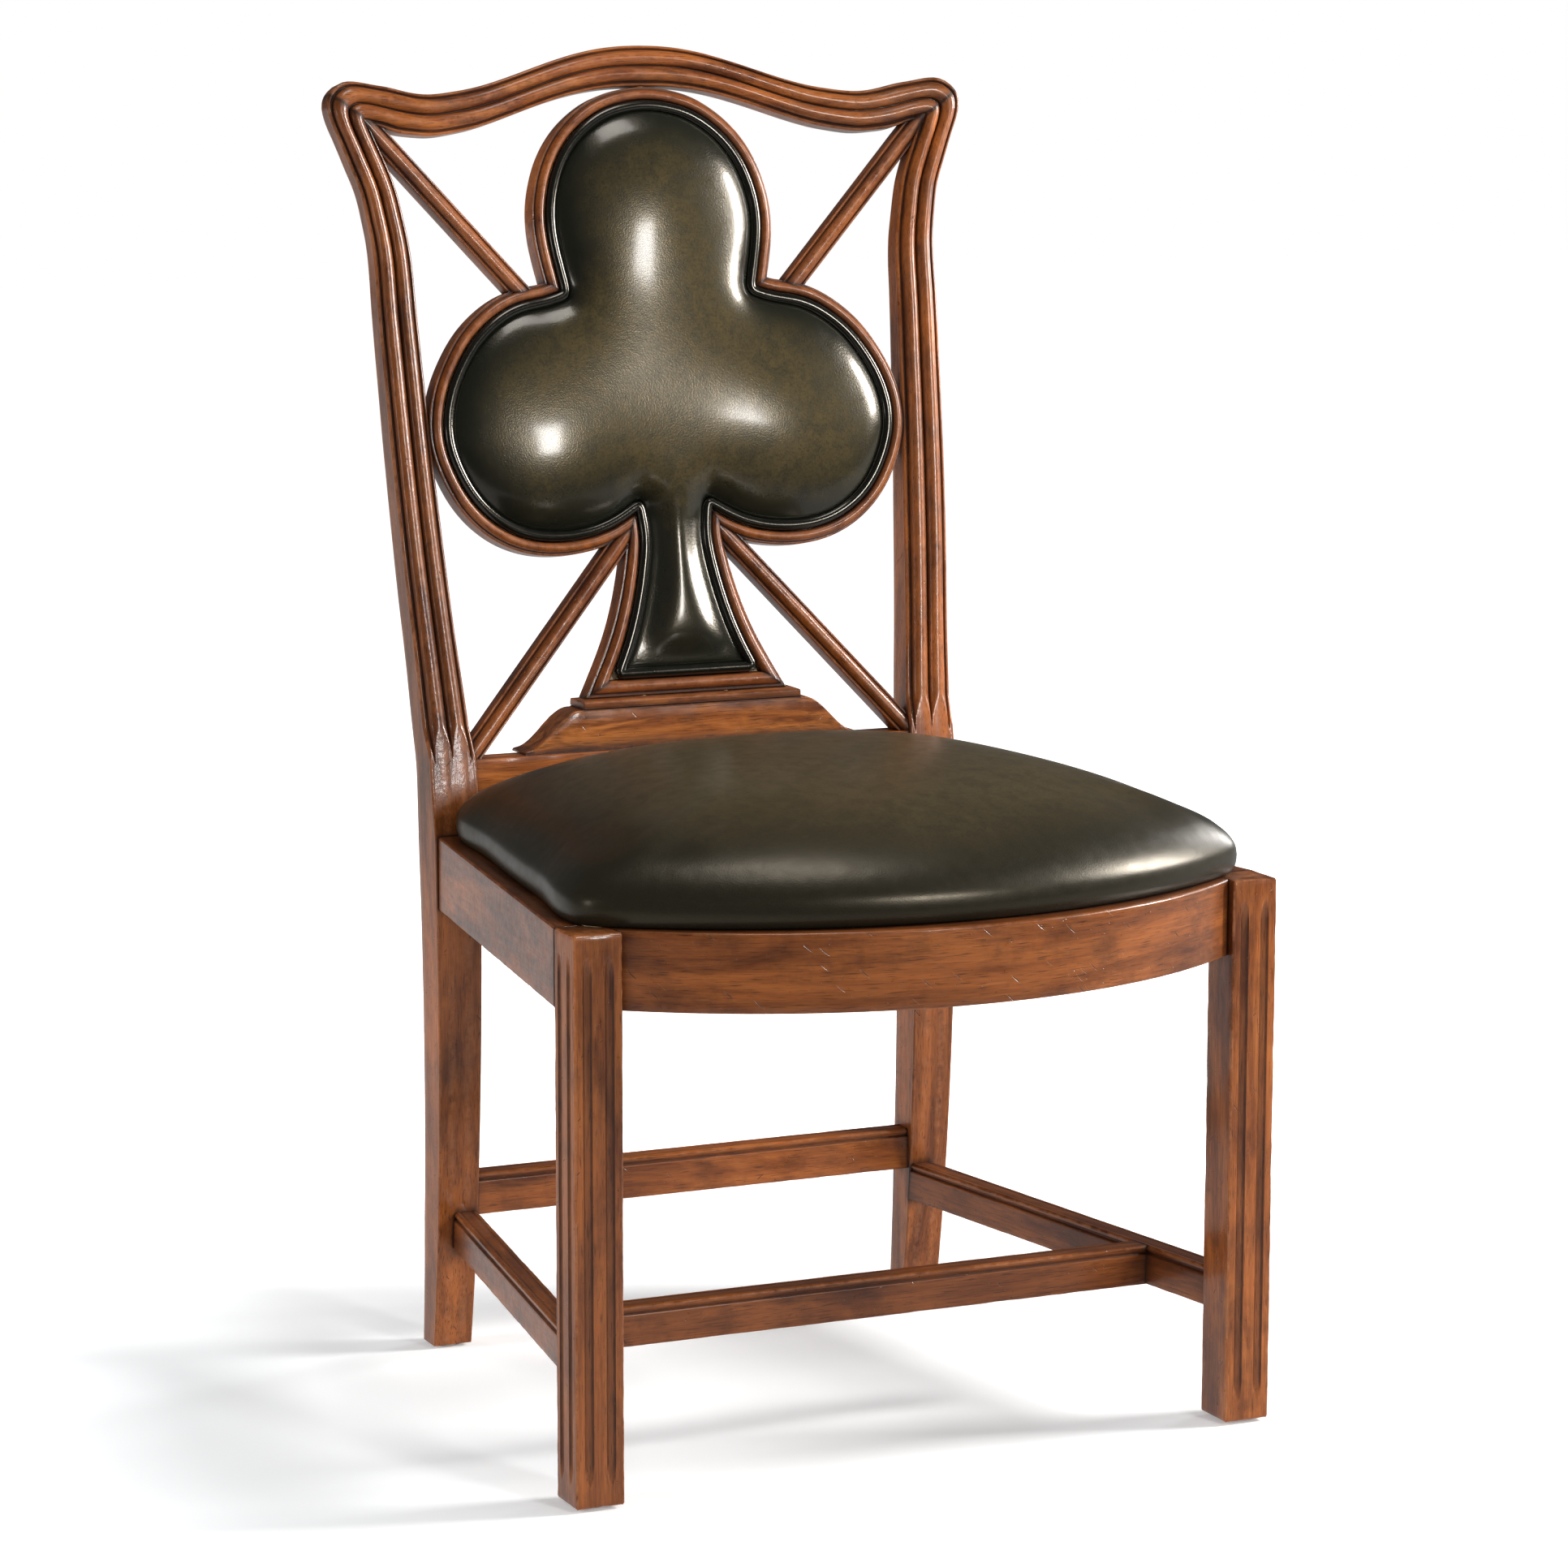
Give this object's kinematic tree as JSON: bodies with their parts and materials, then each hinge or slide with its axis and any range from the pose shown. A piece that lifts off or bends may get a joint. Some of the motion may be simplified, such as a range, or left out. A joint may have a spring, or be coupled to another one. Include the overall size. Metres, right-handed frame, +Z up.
{
  "type": "dining side chair",
  "caption": "Wooden side chair with moulded square legs, a bowed front rail, stretchers, a domed leather seat and an open back that frames a club-shaped leather pad.",
  "frame": {"origin": "middle of the footprint, on the floor under the glides", "axes": "+Z up, the chair faces -Y, and X runs from its left side as pictured to its right"},
  "size_m": [0.5684, 0.6436, 1.0315],
  "materials": {
    "mahogany": "satin lacquer over a warm red-brown stain, rubbed and lightly distressed",
    "leather": "smooth, burnished dark olive, soft gloss",
    "welt_leather": "smooth, near-black green, soft gloss",
    "back_panel_leather": "smooth, dark olive, soft gloss",
    "foam": "open-cell foam, matte",
    "steel": "zinc plated, satin",
    "glide_plastic": "moulded nylon, matte",
    "dust_cloth": "non-woven cloth, matte",
    "plywood": "raw birch plywood",
    "beech": "planed, unfinished"
  },
  "bodies": {
    "root": {"front_leg_left": "mahogany", "front_leg_right": "mahogany", "back_post_left": "mahogany", "back_post_right": "mahogany", "crest_rail": "mahogany", "mitre_spline_left": "beech", "mitre_spline_right": "beech", "front_seat_rail": "mahogany", "side_seat_rail_left": "mahogany", "side_seat_rail_right": "mahogany", "rear_seat_rail": "mahogany", "side_stretcher_left": "mahogany", "side_stretcher_right": "mahogany", "cross_stretcher": "mahogany", "rear_stretcher": "mahogany", "splat_shoe": "mahogany", "shoe_cap": "mahogany", "shoe_screws": "steel", "club_frame_top": "mahogany", "club_frame_left": "mahogany", "club_frame_right": "mahogany", "club_stem_left": "mahogany", "club_stem_right": "mahogany", "club_frame_base": "mahogany", "crest_dowel": "beech", "club_base_dowels": "beech", "upper_bar_left": "mahogany", "upper_bar_right": "mahogany", "lower_bar_left": "mahogany", "lower_bar_right": "mahogany", "back_pad_board": "plywood", "back_pad_foam": "foam", "back_pad_leather": "leather", "back_pad_welt": "welt_leather", "back_panel": "back_panel_leather", "back_pad_screws": "steel", "seat_board": "plywood", "seat_foam": "foam", "seat_leather": "leather", "seat_dust_cover": "dust_cloth", "corner_block_front_left": "beech", "corner_block_front_right": "beech", "corner_block_rear_left": "beech", "corner_block_rear_right": "beech", "corner_block_screws": "steel", "seat_screws": "steel", "rear_seat_cleat": "beech", "cleat_screws": "steel", "glide_front_left": "glide_plastic", "glide_front_right": "glide_plastic", "glide_rear_left": "glide_plastic", "glide_rear_right": "glide_plastic"}
  },
  "joints": []
}
